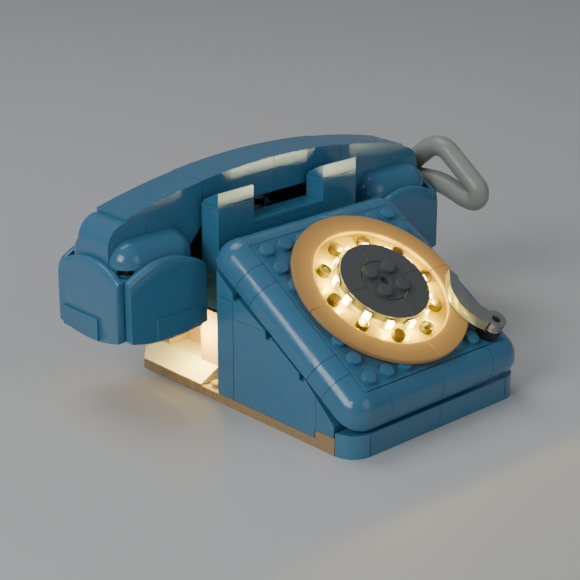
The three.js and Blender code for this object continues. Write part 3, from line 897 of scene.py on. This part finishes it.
# Rounded fillers on the ear caps: a long blue ABS quarter-round with domed ends on each side of the
# handle, with an open slot at its outer corner whose inside is painted black as painted shade.
FILLER_RADIUS = 0.985 * stud
FILLER_WALL = 0.3 * stud
SLOT_EDGE = 0.02 * stud
SLOT_DEPTH = 0.16 * stud
SLOT_HALF_TURN = math.radians(23)
low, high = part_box("capsule_left_front")
bpy.ops.mesh.primitive_uv_sphere_add(segments=64, ring_count=32, radius=FILLER_RADIUS)
filler = bpy.context.object
for normal in ((0, 0, -1), (0, 1, 0)):
    pick_all(filler)
    bpy.ops.mesh.bisect(plane_co=(0, 0, 0), plane_no=normal, use_fill=True, clear_outer=True)
    leave_edit()
pick_faces(filler, lambda face: face.normal.z < -0.99)
bpy.ops.mesh.extrude_region_move(TRANSFORM_OT_translate={"value": (0, 0, -FILLER_WALL)})
leave_edit()
for sign in (-1, 1):
    pick_points(filler, lambda place: place.x * sign > 0.00001)
    bpy.ops.transform.translate(value=(sign * stud, 0, 0))
    leave_edit()
filler.data.materials.append(blue_plastic.material)
filler.data.materials.append(black_plastic.material)
corner = Vector((-1, -1, 0)).normalized()
pick_faces(filler, lambda face: (
    face.center.z < 0 and face.center.x < -stud and face.normal.dot(corner) > math.cos(SLOT_HALF_TURN)))
bpy.ops.mesh.inset(thickness=SLOT_EDGE, depth=0)
bpy.ops.mesh.extrude_region_shrink_fatten(TRANSFORM_OT_shrink_fatten={"value": -SLOT_DEPTH})
# The slot's inside is painted black: painted shade in the recess.
filler.active_material_index = 1
bpy.ops.object.material_slot_assign()
leave_edit()
soften(filler, 0.0002)
filler.data.transform(Matrix.Translation((0, 0, low.z + FILLER_WALL)))
to_front = Matrix.Translation((0, high.y - handset_y, 0))
fillers = []
for side, model in (("left", filler), ("right", turned_over(filler, (1, 0, 0)))):
    model.data.transform(to_front)
    fillers += [model, turned_over(model, (0, 1, 0))]
    for each in fillers[-2:]:
        each.data.transform(ear_middle[side])
press_together(
    fillers, "fillers", blue_plastic, "handset",
    [f"capsule_{side}_{place}" for side in ("left", "right") for place in ("front", "back")], edge=0)

# Cord: a stiff light grey moulded tube that loops beside the right ear cap. Each end sits in a round
# socket on the handset.
cord_plastic = moulded_plastic("cord_plastic", (0.33, 0.335, 0.295), 0.34, drift=0.05)
CORD_RADIUS = 0.48 * stud
route = [
    (9.95, 0.15, 6.75), (9.95, -0.45, 7.28), (9.95, -1.1, 7.74), (9.95, -1.8, 7.82), (9.95, -2.5, 7.42),
    (9.95, -3.1, 6.98), (9.95, -3.62, 6.6), (9.95, -4.02, 6.2), (9.95, -3.9, 5.78), (9.95, -3.35, 5.72),
    (9.95, -2.6, 5.9), (9.95, -1.8, 6.08), (9.95, -0.8, 6.1), (9.95, 0.6, 5.9), (9.95, 1.6, 5.5)]
line = bpy.data.curves.new("cord_tube", "CURVE")
line.dimensions = "3D"
line.bevel_depth = CORD_RADIUS
line.bevel_resolution = 7
line.resolution_u = 10
line.use_fill_caps = True
course = line.splines.new("BEZIER")
course.bezier_points.add(len(route) - 1)
for point, (x, y, z) in zip(course.bezier_points, route):
    point.co = Vector((x, y, z)) * stud + on_handset
    point.handle_left_type = point.handle_right_type = "AUTO"
cord = bpy.data.objects.new("cord_tube", line)
bpy.context.collection.objects.link(cord)
work_on(cord)
bpy.ops.object.convert(target="MESH")
cord = bpy.context.object
SOCKET_RADIUS = 0.42 * stud
SOCKET_ROUNDING = 0.2 * stud
SOCKET_PAST_CORD = 0.1
sockets = []
for (x, y, z), start in ((route[0], 9.02), (route[-1], 9.4)):
    length = x - start + SOCKET_PAST_CORD
    bpy.ops.mesh.primitive_cylinder_add(
        vertices=48, radius=SOCKET_RADIUS, depth=length * stud, rotation=(0, math.pi / 2, 0),
        location=Vector((start + length / 2, y, z)) * stud + on_handset)
    socket = newly_added()
    pick_faces(socket, lambda face: face.normal.x > 0.9)
    bpy.ops.mesh.bevel(offset=SOCKET_ROUNDING, segments=6, affect="EDGES")
    leave_edit()
    soften(socket, 0.0002)
    sockets.append(socket)
soften(cord, 0.0003)
press_together([cord] + sockets, "cord_tube", cord_plastic, "handset", ["cord"], edge=0)

# Light of the dial's lamps that clears the ring: it falls on the front of the handset and on the posts
# of the cradle as bright patches with sharp edges.
beyond_ring = lit_pieces("beyond_ring", ("cradle", "handle", "ear_cap_right", "fillers"))
for x in (-0.6, 1.2):
    glow = small_lamp(face_point(x, 1.95, 0.72), 0.62, (1.0, 0.33, 0.11), LENS_SIZE)
    glow.visible_glossy = False
    glow.light_linking.receiver_collection = beyond_ring
